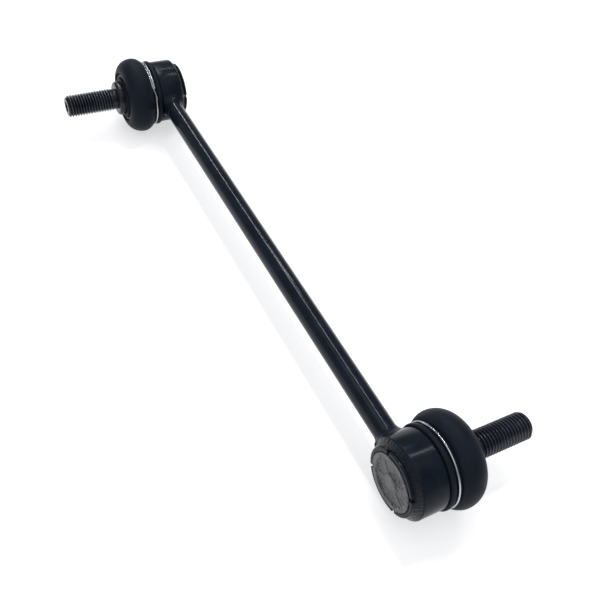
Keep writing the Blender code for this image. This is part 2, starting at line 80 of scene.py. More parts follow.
# The table: a wide sheet of matt white board that the link lies on.
# It keeps the link's shadow. The whiteness is a light of its own, which only the camera and reflections see.
BOARD_REACH = 12.0
BOARD_GAP = 0.0001
BOARD_COLOR = (0.76, 0.76, 0.77, 1.0)
BOARD_ROUGHNESS = 0.95
BOARD_SHINE = 0.05
BOARD_WHITENESS = 0.58
board = bmesh.new()
board_place = Matrix.Translation((0, 0, cad_box[0].z - BOARD_GAP))
bmesh.ops.create_grid(board, x_segments=1, y_segments=1, size=BOARD_REACH, matrix=board_place)
floor = bpy.data.objects.new("floor", bpy.data.meshes.new("floor"))
board.to_mesh(floor.data)
board.free()
bpy.context.scene.collection.objects.link(floor)
paper = bpy.data.materials.new("white_board")
paper.use_nodes = True
nodes = paper.node_tree.nodes
links = paper.node_tree.links
shader = nodes["Principled BSDF"]
shader.inputs["Base Color"].default_value = BOARD_COLOR
shader.inputs["Roughness"].default_value = BOARD_ROUGHNESS
shader.inputs["Specular IOR Level"].default_value = BOARD_SHINE
shader.inputs["Emission Color"].default_value = (1, 1, 1, 1)
path = nodes.new("ShaderNodeLightPath")
mirrored = nodes.new("ShaderNodeMath")
mirrored.operation = "MAXIMUM"
seen = nodes.new("ShaderNodeMath")
seen.operation = "MAXIMUM"
lift = nodes.new("ShaderNodeMath")
lift.operation = "MULTIPLY"
lift.inputs[1].default_value = BOARD_WHITENESS
links.new(path.outputs["Is Glossy Ray"], mirrored.inputs[0])
links.new(path.outputs["Is Transmission Ray"], mirrored.inputs[1])
links.new(path.outputs["Is Camera Ray"], seen.inputs[0])
links.new(mirrored.outputs[0], seen.inputs[1])
links.new(seen.outputs[0], lift.inputs[0])
links.new(lift.outputs[0], shader.inputs["Emission Strength"])
floor.data.materials.append(paper)

# The studio: a room that is pale near the table and dim overhead.
# Narrow strip lamps draw thin lines on the round steel, and a broad one beside the camera fills in.
# Each lamp has a place, the direction of its length, a length and width in metres, and its watts.
HORIZON_COLOR = (0.72, 0.73, 0.74, 1)
LOW_COLOR = (0.44, 0.45, 0.47, 1)
MIDDLE_COLOR = (0.24, 0.25, 0.27, 1)
OVERHEAD_COLOR = (0.16, 0.165, 0.18, 1)
LAMPS = (
    ("strip_lamp", (-0.80, 0.16, 1.0), (1, 0, 0), 1.2, 0.05, 5.0),
    ("near_cross_lamp", (-0.17, 0.46, 0.9), (0, 1, 0), 0.4, 0.03, 1.6),
    ("far_cross_lamp", (-0.70, 0.36, 0.9), (0, 1, 0), 0.3, 0.03, 0.8),
    ("broad_lamp", (0.45, -0.55, 1.7), (1, 1, 0), 2.8, 2.8, 20.0),
)
world = bpy.data.worlds.new("studio")
bpy.context.scene.world = world
world.use_nodes = True
nodes = world.node_tree.nodes
links = world.node_tree.links
toward = nodes.new("ShaderNodeTexCoord")
split = nodes.new("ShaderNodeSeparateXYZ")
shade = nodes.new("ShaderNodeValToRGB")
shade.color_ramp.elements[0].position = 0.0
shade.color_ramp.elements[0].color = HORIZON_COLOR
shade.color_ramp.elements[1].position = 0.6
shade.color_ramp.elements[1].color = OVERHEAD_COLOR
shade.color_ramp.elements.new(0.1).color = LOW_COLOR
shade.color_ramp.elements.new(0.25).color = MIDDLE_COLOR
links.new(toward.outputs["Generated"], split.inputs[0])
links.new(split.outputs["Z"], shade.inputs[0])
links.new(shade.outputs[0], nodes["Background"].inputs["Color"])
for name, place, along, length, width, watts in LAMPS:
    lamp = bpy.data.objects.new(name, bpy.data.lights.new(name, "AREA"))
    lamp.data.shape = "RECTANGLE"
    lamp.data.size = length
    lamp.data.size_y = width
    lamp.data.energy = watts
    behind = Vector(place).normalized()
    across = behind.cross(Vector(along)).normalized()
    axes = Matrix((across.cross(behind), across, behind)).transposed().to_4x4()
    lamp.matrix_world = Matrix.Translation(place) @ axes
    bpy.context.scene.collection.objects.link(lamp)

# Rod: drawn round steel bar, 10 mm thick, in black electro-dip paint.
# Its ends run into the walls of the two housings, where they are welded on.
# All sizes from here on are in millimetres.
MM = 0.001
LINK_LENGTH = 270.0
ROD_RADIUS = 5.0
ROD_INTO_WALL = 0.6
HOUSING_RADIUS = 16.7
PAINT = (0.0098, 0.0148, 0.0240)
PAINT_SHINE = 0.09
ROD_SHINE = 0.2
CLOUDS_A_METRE = 140.0
CLOUD_RANGE = (0.3, 0.7)
GLOSS_SPREAD = 0.18


def finish(name, color, roughness, tone=0.5, metallic=0.0, specular=0.5):
    """A finish whose colour clouds by the share tone, and whose gloss goes with it."""
    material = bpy.data.materials.new(name)
    material.use_nodes = True
    nodes = material.node_tree.nodes
    links = material.node_tree.links
    shader = nodes["Principled BSDF"]
    shader.inputs["Metallic"].default_value = metallic
    shader.inputs["Specular IOR Level"].default_value = specular
    place = nodes.new("ShaderNodeTexCoord")
    cloud = nodes.new("ShaderNodeTexNoise")
    cloud.inputs["Scale"].default_value = CLOUDS_A_METRE
    cloud.inputs["Detail"].default_value = 5.0
    links.new(place.outputs["Object"], cloud.inputs["Vector"])
    hue = nodes.new("ShaderNodeValToRGB")
    hue.color_ramp.elements[0].position = CLOUD_RANGE[0]
    hue.color_ramp.elements[0].color = (*(channel * (1 - tone / 2) for channel in color), 1)
    hue.color_ramp.elements[1].position = CLOUD_RANGE[1]
    hue.color_ramp.elements[1].color = (*(channel * (1 + tone / 2) for channel in color), 1)
    links.new(cloud.outputs["Fac"], hue.inputs["Fac"])
    links.new(hue.outputs["Color"], shader.inputs["Base Color"])
    gloss = nodes.new("ShaderNodeMapRange")
    gloss.inputs["From Min"].default_value = CLOUD_RANGE[0]
    gloss.inputs["From Max"].default_value = CLOUD_RANGE[1]
    gloss.inputs["To Min"].default_value = roughness * (1 - GLOSS_SPREAD)
    gloss.inputs["To Max"].default_value = roughness * (1 + GLOSS_SPREAD)
    links.new(cloud.outputs["Fac"], gloss.inputs["Value"])
    links.new(gloss.outputs["Result"], shader.inputs["Roughness"])
    return material


def add_grain(material, grains, depth, detail=3.0, stretch=(1, 1, 1)):
    """Lays a raised grain over a finish and any grain it has: grains to the metre, depth in millimetres."""
    nodes = material.node_tree.nodes
    links = material.node_tree.links
    shader = nodes["Principled BSDF"]
    place = nodes.new("ShaderNodeTexCoord")
    fit = nodes.new("ShaderNodeMapping")
    fit.inputs["Scale"].default_value = stretch
    grain = nodes.new("ShaderNodeTexNoise")
    grain.inputs["Scale"].default_value = grains
    grain.inputs["Detail"].default_value = detail
    bump = nodes.new("ShaderNodeBump")
    bump.inputs["Distance"].default_value = depth * MM
    links.new(place.outputs["Object"], fit.inputs["Vector"])
    links.new(fit.outputs["Vector"], grain.inputs["Vector"])
    links.new(grain.outputs["Fac"], bump.inputs["Height"])
    for link in list(shader.inputs["Normal"].links):
        links.new(link.from_socket, bump.inputs["Normal"])
    links.new(bump.outputs["Normal"], shader.inputs["Normal"])


def piece(name, tool, material, body, sharp=35.0):
    """A finished piece from its bmesh, standing for the plain solid of its name."""
    mesh = bpy.data.meshes.new(name)
    bmesh.ops.remove_doubles(tool, verts=tool.verts, dist=0.001 * MM)
    bmesh.ops.recalc_face_normals(tool, faces=tool.faces)
    tool.to_mesh(mesh)
    tool.free()
    mesh.shade_smooth()
    mesh.set_sharp_from_angle(angle=math.radians(sharp))
    mesh.materials.append(material)
    made = bpy.data.objects.new(name + "_skin", mesh)
    bpy.context.scene.collection.objects.link(made)
    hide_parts(name)
    if body:
        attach(made, body)
    return made


rod_paint = finish("rod_paint", PAINT, 0.14, specular=ROD_SHINE)
add_grain(rod_paint, 260.0, 0.0012, detail=1.0, stretch=(0.3, 1, 1))
bar = bmesh.new()
bmesh.ops.create_cone(
    bar,
    cap_ends=True,
    segments=128,
    radius1=ROD_RADIUS * MM,
    radius2=ROD_RADIUS * MM,
    depth=2 * (LINK_LENGTH / 2 - HOUSING_RADIUS + ROD_INTO_WALL) * MM,
    matrix=Matrix.Rotation(math.pi / 2, 4, "Y"),
)
piece("rod", bar, rod_paint, "link")

# Housings: turned steel pots, welded to the rod and painted with it.
# The spigot on top carries the boot. The flange below, notched in four places, is rolled over the cap.
# The crown that slopes down to the flange is rougher than the turned wall, and its paint is darkened there
# as painted shade for that downward slope.
JOINTS = {"a": -1, "b": 1}
CLOSURE_TURNS = {"a": math.radians(12), "b": math.radians(-28)}
SHOULDER = 5.2
SPIGOT_RADIUS = 14.6
SPIGOT_TOP = 10.2
MOUTH_RADIUS = 9.7
MOUTH_LAND_RADIUS = 9.0
BORE_RADIUS = 12.4
BORE_TOP = 6.5
BORE_BOTTOM = -6.9
COUNTERBORE_RADIUS = 13.0
CROWN_TOP = -6.4
FLANGE_RADIUS = 14.0
FLANGE_NECK_RADIUS = 13.5
FLANGE_TOP = -8.9
ROLLED_RADIUS = 12.3
ROLLED_TOP = -9.5
ROLLED_BOTTOM = -10.0
ROUGH_AND_SHADED_TOP = CROWN_TOP - 0.3
ROUGH_AND_SHADED_BOTTOM = FLANGE_TOP + 0.1
NOTCHES = 4
NOTCH_RADIUS = (ROLLED_RADIUS + HOUSING_RADIUS) / 2
NOTCH_LENGTH = HOUSING_RADIUS - ROLLED_RADIUS + 0.6
NOTCH_WIDTH = 1.8
NOTCH_HEIGHT = 1.7
NOTCH_MIDDLE = ROLLED_TOP - 0.05
# Painted shade: the crown's colour is the housing paint darkened, for the slope that faces away from the
# lamps.
CROWN_SHADED_COLOR = [channel * 0.6 for channel in PAINT]
CROWN_SHINE = 0.15


def at_joint(side):
    """Matrix from a joint's own frame, stud up and rod along X, to the link's."""
    stud = Vector((0, side, 0))
    to_rod = Vector((-side, 0, 0))
    turn = Matrix((to_rod, stud.cross(to_rod), stud)).transposed().to_4x4()
    return Matrix.Translation((side * LINK_LENGTH / 2 * MM, 0, 0)) @ turn


def turned(corners, steps=128, closed=True):
    """The solid that an outline of corners (radius, height, rounding) sweeps round Z."""
    tool = bmesh.new()
    verts = [tool.verts.new((radius * MM, 0, height * MM)) for radius, height, _ in corners]
    for first, second in zip(verts, verts[1:]):
        tool.edges.new((first, second))
    if closed:
        tool.edges.new((verts[-1], verts[0]))
    for vert, (_, _, rounding) in zip(verts, corners):
        if rounding:
            bmesh.ops.bevel(
                tool,
                geom=[vert],
                offset=rounding * MM,
                offset_type="OFFSET",
                affect="VERTICES",
                segments=5,
                profile=0.5,
                material=-1,
            )
    outline = tool.verts[:] + tool.edges[:]
    bmesh.ops.spin(
        tool,
        geom=outline,
        axis=(0, 0, 1),
        cent=(0, 0, 0),
        angle=math.tau,
        steps=steps,
        use_merge=True,
    )
    return tool


def punched(made, punch, sharp=35.0, soften=0.0):
    """Presses the shapes in a bmesh out of a piece, and rounds its sharp edges by a width."""
    cutter = bpy.data.objects.new("punch", bpy.data.meshes.new("punch"))
    punch.to_mesh(cutter.data)
    punch.free()
    bpy.context.scene.collection.objects.link(cutter)
    pressed = made.modifiers.new("pressed", "BOOLEAN")
    pressed.operation = "DIFFERENCE"
    pressed.solver = "EXACT"
    pressed.object = cutter
    shaped = made.evaluated_get(bpy.context.evaluated_depsgraph_get())
    made.data = bpy.data.meshes.new_from_object(shaped)
    made.modifiers.clear()
    bpy.data.objects.remove(cutter, do_unlink=True)
    made.data.shade_smooth()
    made.data.set_sharp_from_angle(angle=math.radians(sharp))
    if soften:
        softened = made.modifiers.new("softened", "BEVEL")
        softened.width = soften * MM
        softened.segments = 2
        softened.limit_method = "ANGLE"
        softened.angle_limit = math.radians(sharp)
        softened.harden_normals = True


housing_paint = finish("housing_paint", PAINT, 0.2, specular=PAINT_SHINE)
add_grain(housing_paint, 420.0, 0.007, detail=1.0)
add_grain(housing_paint, 2600.0, 0.002, detail=1.0)
shaded_crown_paint = finish("shaded_crown_paint", CROWN_SHADED_COLOR, 0.13, specular=CROWN_SHINE)
add_grain(shaded_crown_paint, 900.0, 0.8, detail=4.0)
for end, side in JOINTS.items():
    shell = turned(
        [
            (MOUTH_RADIUS, SPIGOT_TOP, 0.3),
            (SPIGOT_RADIUS, SPIGOT_TOP, 0.6),
            (SPIGOT_RADIUS, SHOULDER, 0),
            (HOUSING_RADIUS, SHOULDER, 0.6),
            (HOUSING_RADIUS, CROWN_TOP, 0.5),
            (FLANGE_NECK_RADIUS, FLANGE_TOP, 0.1),
            (FLANGE_RADIUS, FLANGE_TOP, 0.2),
            (FLANGE_RADIUS, ROLLED_BOTTOM, 0.3),
            (ROLLED_RADIUS, ROLLED_BOTTOM, 0.15),
            (ROLLED_RADIUS, ROLLED_TOP, 0),
            (COUNTERBORE_RADIUS, ROLLED_TOP, 0),
            (COUNTERBORE_RADIUS, BORE_BOTTOM, 0),
            (BORE_RADIUS, BORE_BOTTOM, 0),
            (BORE_RADIUS, BORE_TOP, 0),
            (MOUTH_LAND_RADIUS, BORE_TOP, 0),
        ]
    )
    # The faces between these heights take the darkened crown paint, a painted shade on the rough downward
    # slope.
    for face in shell.faces:
        if ROUGH_AND_SHADED_BOTTOM < face.calc_center_median().z / MM < ROUGH_AND_SHADED_TOP:
            face.material_index = 1
    shell.transform(at_joint(side))
    housing = piece("housing_" + end, shell, housing_paint, "link")
    housing.data.materials.append(shaded_crown_paint)
    notches = bmesh.new()
    for index in range(NOTCHES):
        turn = Matrix.Rotation(CLOSURE_TURNS[end] + math.tau * index / NOTCHES, 4, "Z")
        place = Matrix.Translation((NOTCH_RADIUS * MM, 0, NOTCH_MIDDLE * MM))
        size = Matrix.Diagonal((NOTCH_LENGTH * MM, NOTCH_WIDTH * MM, NOTCH_HEIGHT * MM, 1))
        bmesh.ops.create_cube(notches, size=1.0, matrix=at_joint(side) @ turn @ place @ size)
    punched(housing, notches)

# Weld beads: one run of weld metal round each end of the rod, under the paint.
# The run leaves ripples behind it, and is ground flush with the housing's shoulder.
WELD_LEG = 1.9
WELD_LENGTH = 2.9
WELD_ROOT = 0.3
RIPPLES = 15
RIPPLE_HEIGHT = 0.06
RIPPLE_BOW = 2.2
RIPPLE_UNEVENNESS = 1.5
LUMPS_A_METRE = 400
GROUND_BELOW = 0.12
GROUND_BEND = 0.4
weld_paint = finish("weld_paint", PAINT, 0.27, specular=PAINT_SHINE)
add_grain(weld_paint, 1200.0, 0.02)
for end, side in JOINTS.items():
    bead = turned(
        [
            (ROD_RADIUS - WELD_ROOT, HOUSING_RADIUS + WELD_LENGTH, 0),
            (ROD_RADIUS + 0.12, HOUSING_RADIUS + WELD_LENGTH, 0.05),
            (ROD_RADIUS + 0.45, HOUSING_RADIUS + WELD_LENGTH * 0.62, 0.4),
            (ROD_RADIUS + 1.0, HOUSING_RADIUS + WELD_LENGTH * 0.3, 0.4),
            (ROD_RADIUS + WELD_LEG, HOUSING_RADIUS + 0.1, 0.2),
            (ROD_RADIUS + WELD_LEG, HOUSING_RADIUS - 0.4, 0),
            (ROD_RADIUS - WELD_ROOT, HOUSING_RADIUS - 0.4, 0),
        ],
        180,
    )
    bead.transform(Matrix.Rotation(math.pi / 2, 4, "Y"))
    for vert in bead.verts:
        depth, across, height = vert.co
        reach = math.hypot(across, height)
        angle = math.atan2(height, across)
        toe = (depth / MM - HOUSING_RADIUS) / WELD_LENGTH
        uneven = RIPPLE_UNEVENNESS * noise.noise(Vector((across, height, 0)) * LUMPS_A_METRE)
        ripple = math.sin(angle * RIPPLES + RIPPLE_BOW * toe * toe + uneven)
        outside_rod = reach > (ROD_RADIUS + 0.05) * MM
        swell = RIPPLE_HEIGHT * ripple * max(0.0, 1 - toe) * outside_rod
        grown = 1 + swell * MM / reach
        across, height = across * grown, height * grown
        saddle = math.sqrt((HOUSING_RADIUS * MM) ** 2 - across**2) - HOUSING_RADIUS * MM
        ground = (SHOULDER - GROUND_BELOW - GROUND_BEND) * MM
        if height > ground:
            height = ground + GROUND_BEND * MM * math.tanh((height - ground) / (GROUND_BEND * MM))
        vert.co = (depth + saddle, across, height)
    bead.transform(at_joint(side))
    piece("weld_bead_" + end, bead, weld_paint, "link", 60.0)

# End caps: pressed steel discs that close the housings from below.
# A ring is sunk into each face round its hub, with six shallow pockets in it and low ribs between them.
# The gap is what is left free between any two pieces that sit inside each other.
GAP = 0.3
CAP_LAND_RADIUS = COUNTERBORE_RADIUS - GAP
CAP_LAND_TOP = BORE_BOTTOM - GAP
CAP_LAND_BOTTOM = ROLLED_TOP + GAP
CAP_HEAD_RADIUS = ROLLED_RADIUS - GAP
CAP_FACE = -10.4
HUB_RADIUS = 3.6
SUNK_RADIUS = 9.4
SUNK_DEPTH = 0.45
POCKETS = 6
POCKET_INNER_RADIUS = HUB_RADIUS + 0.6
POCKET_OUTER_RADIUS = SUNK_RADIUS - 0.2
POCKET_DEPTH = 0.08
RIB_WIDTH = 1.8
RIB_ROUNDING = 0.035
SEAT_BOSS_RADIUS = 8.0
SEAT_CONE_RADIUS = 9.6
SEAT_BOTTOM = -8.9
CAP_COLOR = (0.0125, 0.0150, 0.0205)
cap_paint = finish("cap_paint", CAP_COLOR, 0.22, tone=0.9, specular=0.7)
add_grain(cap_paint, 420.0, 1.6, detail=5.0)
add_grain(cap_paint, 1800.0, 0.08)
for end, side in JOINTS.items():
    disc = turned(
        [
            (0, SEAT_BOTTOM - GAP, 0),
            (SEAT_BOSS_RADIUS + GAP, SEAT_BOTTOM - GAP, 0),
            (SEAT_CONE_RADIUS + GAP, CAP_LAND_TOP, 0),
            (CAP_LAND_RADIUS, CAP_LAND_TOP, 0),
            (CAP_LAND_RADIUS, CAP_LAND_BOTTOM, 0),
            (CAP_HEAD_RADIUS, CAP_LAND_BOTTOM, 0),
            (CAP_HEAD_RADIUS, CAP_FACE, 0.4),
            (SUNK_RADIUS + 0.5, CAP_FACE, 0.3),
            (SUNK_RADIUS, CAP_FACE + SUNK_DEPTH, 0.25),
            (HUB_RADIUS + 0.4, CAP_FACE + SUNK_DEPTH, 0.25),
            (HUB_RADIUS - 0.1, CAP_FACE, 0.3),
            (0, CAP_FACE, 0),
        ],
        120,
        False,
    )
    disc.transform(at_joint(side))
    cap = piece("end_cap_" + end, disc, cap_paint, "link")
    pockets = bmesh.new()
    below = CAP_FACE - 0.3
    roof = CAP_FACE + SUNK_DEPTH + POCKET_DEPTH
    sweep = math.tau / POCKETS - RIB_WIDTH / POCKET_INNER_RADIUS
    for index in range(POCKETS):
        angle = CLOSURE_TURNS[end] + math.tau * (index + 0.5) / POCKETS - sweep / 2
        start = Matrix.Rotation(angle, 4, "Z")
        verts = []
        for radius, height in (
            (POCKET_INNER_RADIUS, below),
            (POCKET_OUTER_RADIUS, below),
            (POCKET_OUTER_RADIUS, roof),
            (POCKET_INNER_RADIUS, roof),
        ):
            verts.append(pockets.verts.new(start @ Vector((radius * MM, 0, height * MM))))
        side_face = pockets.faces.new(verts)
        bmesh.ops.spin(
            pockets,
            geom=[side_face],
            axis=(0, 0, 1),
            cent=(0, 0, 0),
            angle=sweep,
            steps=14,
        )
    bmesh.ops.recalc_face_normals(pockets, faces=pockets.faces)
    pockets.transform(at_joint(side))
    punched(cap, pockets, soften=RIB_ROUNDING)

# Ball seats: cups of pale engineering plastic round the balls, out of sight in the housings.
# Moulded in one piece, with a boss that locates in the cap.
BALL_HEIGHT = 2.5
BALL_RADIUS = 9.5
SEAT_TOP = BORE_TOP - GAP
SEAT_RADIUS = BORE_RADIUS - GAP
SEAT_MOUTH_RADIUS = 9.08
SEAT_COLOR = (0.72, 0.70, 0.64)


def round_ball(radius, angles):
    """Outline points on a sphere round the ball's centre, at angles above its middle in degrees."""
    turns = [math.radians(angle) for angle in angles]
    return [(radius * math.cos(turn), BALL_HEIGHT + radius * math.sin(turn), 0) for turn in turns]


seat_plastic = finish("seat_plastic", SEAT_COLOR, 0.42, tone=0.06)
add_grain(seat_plastic, 900.0, 0.02)
for end, side in JOINTS.items():
    cup = turned(
        [
            (0, BALL_HEIGHT - BALL_RADIUS - GAP, 0),
            *round_ball(BALL_RADIUS + GAP, range(-84, 22, 6)),
            (SEAT_MOUTH_RADIUS, SEAT_TOP, 0.1),
            (SEAT_RADIUS, SEAT_TOP, 0.2),
            (SEAT_RADIUS, BORE_BOTTOM, 0.2),
            (SEAT_CONE_RADIUS, BORE_BOTTOM, 0),
            (SEAT_BOSS_RADIUS, SEAT_BOTTOM, 0.3),
            (0, SEAT_BOTTOM, 0),
        ],
        96,
        False,
    )
    cup.transform(at_joint(side))
    piece("ball_seat_" + end, cup, seat_plastic, "link")

# Ball studs: forged steel in a black phosphate coating, with the crests of the thread coloured brighter,
# partly wear and partly a painted highlight.
# The thread is rolled, M12 with a pitch of 1.5 mm, and a key socket is pressed into the tip.
NECK_RADIUS = 5.0
NECK_BOTTOM = 10.58
NECK_TOP = 14.9
BALL_FLAT_RADIUS = 3.0
BALL_FLAT_DROP = 9.01
BOOT_SEAT_RADIUS = 6.4
BOOT_SEAT_BOTTOM = 18.4
COLLAR_RADIUS = 9.2
COLLAR_BOTTOM = 24.3
COLLAR_TOP = 27.6
SHANK_RADIUS = 5.55
THREAD_RADIUS = 6.0
THREAD_PITCH = 1.5
THREAD_DEPTH = 0.92
THREAD_START = COLLAR_TOP - 0.3
THREAD_STEPS = 96
CREST_REACH = THREAD_RADIUS - 0.15
RUN_OUT_START = 1.2
RUN_OUT_LENGTH = 2.4
TIP = 55.3
TIP_CHAMFER = 1.2
SOCKET_RADIUS = 2.89
SOCKET_DEPTH = 5.5
SOCKET_CHAMFER = 0.35
STUD_COLOR = (0.0075, 0.0100, 0.0180)
# Partly wear, partly painted highlight: the crests are coloured much brighter than the coating, standing in
# for the glints along the thread.
CREST_WEAR_AND_SHEEN_COLOR = (0.070, 0.078, 0.100)


def eased(share):
    """A share from 0 to 1, kept there and slowed at both ends."""
    share = min(1.0, max(0.0, share))
    return share * share * (3 - 2 * share)


def forged_end():
    """The ball, neck, boot seat and collar of a stud that stands along Z."""
    return turned(
        [
            (0, COLLAR_TOP, 0),
            (SHANK_RADIUS, COLLAR_TOP, 0),
            (COLLAR_RADIUS, COLLAR_TOP, 1.5),
            (COLLAR_RADIUS, COLLAR_BOTTOM, 0.25),
            (BOOT_SEAT_RADIUS, COLLAR_BOTTOM, 0.2),
            (BOOT_SEAT_RADIUS, BOOT_SEAT_BOTTOM, 0.4),
            (NECK_RADIUS, NECK_TOP, 0.8),
            (NECK_RADIUS, NECK_BOTTOM, 0.3),
            *round_ball(BALL_RADIUS, range(54, -70, -6)),
            (BALL_FLAT_RADIUS, BALL_HEIGHT - BALL_FLAT_DROP, 0),
            (0, BALL_HEIGHT - BALL_FLAT_DROP, 0),
        ],
        96,
        False,
    )


def thread_ridge():
    """A helical ridge from below the collar's face to past the tip, all of it at full depth."""
    screw = bmesh.new()
    root = THREAD_RADIUS - THREAD_DEPTH
    foot = THREAD_RADIUS - THREAD_DEPTH * 0.9
    shoulder = THREAD_RADIUS - 0.1
    ridge = [
        (root, 0.0),
        (foot, 0.14),
        (shoulder, 0.39),
        (THREAD_RADIUS, 0.45),
        (THREAD_RADIUS, 0.55),
        (shoulder, 0.61),
        (foot, 0.86),
        (root, 1.0),
    ]
    first_turn = COLLAR_TOP - 1.5 * THREAD_PITCH
    turns = math.ceil((TIP - first_turn) / THREAD_PITCH) + 1
    verts = []
    for radius, share in ridge:
        verts.append(screw.verts.new((radius * MM, 0, (first_turn + share * THREAD_PITCH) * MM)))
    for low, high in zip(verts, verts[1:]):
        screw.edges.new((low, high))
    bmesh.ops.spin(
        screw,
        geom=screw.verts[:] + screw.edges[:],
        axis=(0, 0, 1),
        cent=(0, 0, 0),
        dvec=(0, 0, THREAD_PITCH / THREAD_STEPS * MM),
        angle=math.tau,
        steps=THREAD_STEPS,
    )
    one_turn = screw.verts[:] + screw.edges[:] + screw.faces[:]
    for index in range(1, turns):
        copied = bmesh.ops.duplicate(screw, geom=one_turn)["geom"]
        moved = [item for item in copied if isinstance(item, bmesh.types.BMVert)]
        bmesh.ops.translate(screw, verts=moved, vec=(0, 0, index * THREAD_PITCH * MM))
    bmesh.ops.remove_doubles(screw, verts=screw.verts, dist=0.005 * MM)
    return screw


def rim(screw, at_tip):
    """The open edges of a cut thread, at its tip or at the collar."""
    edges = [edge for edge in screw.edges if edge.is_boundary]
    return [edge for edge in edges if (edge.verts[0].co.z > COLLAR_TOP * MM) == at_tip]


def threaded_end(socket_turn):
    """The threaded end of a stud, with its chamfered tip and a key socket at an angle round it."""
    screw = thread_ridge()
    for vert in screw.verts:
        reach = math.hypot(vert.co.x, vert.co.y) / MM
        height = vert.co.z / MM
        depth_share = eased((height - COLLAR_TOP - RUN_OUT_START) / RUN_OUT_LENGTH)
        wanted = SHANK_RADIUS + (reach - SHANK_RADIUS) * depth_share
        wanted = min(wanted, THREAD_RADIUS - TIP_CHAMFER + (TIP - height))
        vert.co.x *= wanted / reach
        vert.co.y *= wanted / reach
    for height, above in ((THREAD_START, False), (TIP, True)):
        bmesh.ops.bisect_plane(
            screw,
            geom=screw.verts[:] + screw.edges[:] + screw.faces[:],
            plane_co=(0, 0, height * MM),
            plane_no=(0, 0, 1),
            clear_outer=above,
            clear_inner=not above,
        )
    low_rim = rim(screw, False)
    tip_rim = rim(screw, True)
    bmesh.ops.contextual_create(screw, geom=low_rim)
    turn = Matrix.Rotation(socket_turn, 4, "Z")
    rings = []
    for radius, height in (
        (SOCKET_RADIUS + SOCKET_CHAMFER, TIP),
        (SOCKET_RADIUS, TIP - SOCKET_CHAMFER),
        (SOCKET_RADIUS, TIP - SOCKET_DEPTH),
    ):
        place = Matrix.Translation((0, 0, height * MM)) @ turn
        verts = bmesh.ops.create_circle(screw, segments=6, radius=radius * MM, matrix=place)["verts"]
        rings.append(list({edge for vert in verts for edge in vert.link_edges}))
    for outer_rim, inner_rim in ((tip_rim, rings[0]), (rings[0], rings[1]), (rings[1], rings[2])):
        bmesh.ops.bridge_loops(screw, edges=outer_rim + inner_rim)
    bmesh.ops.contextual_create(screw, geom=rings[2])
    # The crest faces take the brighter crest finish, partly wear and partly a painted highlight.
    for face in screw.faces:
        if min(math.hypot(vert.co.x, vert.co.y) for vert in face.verts) > CREST_REACH * MM:
            face.material_index = 1
    return screw


stud_coat = finish("stud_coat", STUD_COLOR, 0.24, tone=0.6, specular=0.3)
add_grain(stud_coat, 2200.0, 0.02, detail=4.0)
crest_wear_and_sheen_coat = finish("crest_wear_and_sheen_coat", CREST_WEAR_AND_SHEEN_COLOR, 0.3, tone=0.8, metallic=0.5, specular=0.6)
add_grain(crest_wear_and_sheen_coat, 2200.0, 0.02, detail=4.0)
for end, side in JOINTS.items():
    stud = forged_end()
    screw = threaded_end(CLOSURE_TURNS[end])
    thread_mesh = bpy.data.meshes.new("thread")
    screw.to_mesh(thread_mesh)
    screw.free()
    stud.from_mesh(thread_mesh)
    bpy.data.meshes.remove(thread_mesh)
    stud.transform(at_joint(side))
    made = piece("ball_stud_" + end, stud, stud_coat, "stud_" + end, 40.0)
    made.data.materials.append(crest_wear_and_sheen_coat)

# Boots: soft black rubber bellows, moulded in one piece, filled with grease.
# The bead at the bottom grips the housing's spigot and the small end seals on the stud.
BEAD_RADIUS = 17.6
BEAD_BOTTOM = 5.5
BEAD_TOP = 7.8
GROOVE_RADIUS = 16.4
GROOVE_TOP = 10.5
BULGE_RADIUS = 20.2
BULGE_HEIGHT = 15.2
BULGE_DEPTH = 6.9
BULGE_DROP = 6.6
BOOT_PEAK = 23.4
VALLEY_RADIUS = 12.8
VALLEY_HEIGHT = 21.4
LIP_RADIUS = 11.0
LIP_TOP = 24.0
LIP_BORE_RADIUS = 8.2
ROOF = 19.9
SKIRT_BORE_RADIUS = SPIGOT_RADIUS + GAP
WALL = 1.7
RUBBER_COLOR = (0.0108, 0.0152, 0.0240)
rubber = finish("boot_rubber", RUBBER_COLOR, 0.5, tone=0.35, specular=0.08)
add_grain(rubber, 700.0, 0.03, detail=4.0)
add_grain(rubber, 3200.0, 0.02, detail=2.0)
middle = BULGE_RADIUS - BULGE_DEPTH
outside = []
for angle in range(90, -46, -6):
    rise = BOOT_PEAK - BULGE_HEIGHT if angle > 0 else BULGE_DROP
    turn = math.radians(angle)
    outside.append((middle + BULGE_DEPTH * math.cos(turn), BULGE_HEIGHT + rise * math.sin(turn), 0))
inside = []
for angle in range(-66, 91, 12):
    rise = ROOF - BULGE_HEIGHT if angle > 0 else BULGE_DROP - WALL
    turn = math.radians(angle)
    reach = middle + (BULGE_DEPTH - WALL) * math.cos(turn)
    if angle < 0:
        reach = max(reach, SKIRT_BORE_RADIUS)
    inside.append((reach, BULGE_HEIGHT + rise * math.sin(turn), 0))
for end, side in JOINTS.items():
    boot = turned(
        [
            (LIP_BORE_RADIUS, LIP_TOP, 0.3),
            (LIP_RADIUS, LIP_TOP, 0.7),
            (LIP_RADIUS, VALLEY_HEIGHT, 0.4),
            (VALLEY_RADIUS, VALLEY_HEIGHT, 0.2),
            *outside,
            (GROOVE_RADIUS, GROOVE_TOP, 0.3),
            (GROOVE_RADIUS, BEAD_TOP, 0.3),
            (BEAD_RADIUS, BEAD_TOP, 0.9),
            (BEAD_RADIUS, BEAD_BOTTOM, 0.8),
            (SKIRT_BORE_RADIUS, BEAD_BOTTOM, 0),
            *inside,
            (LIP_BORE_RADIUS, ROOF, 0.3),
        ],
        144,
    )
    boot.transform(at_joint(side))
    made = piece("boot_" + end, boot, rubber, None, 50.0)
    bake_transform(made)

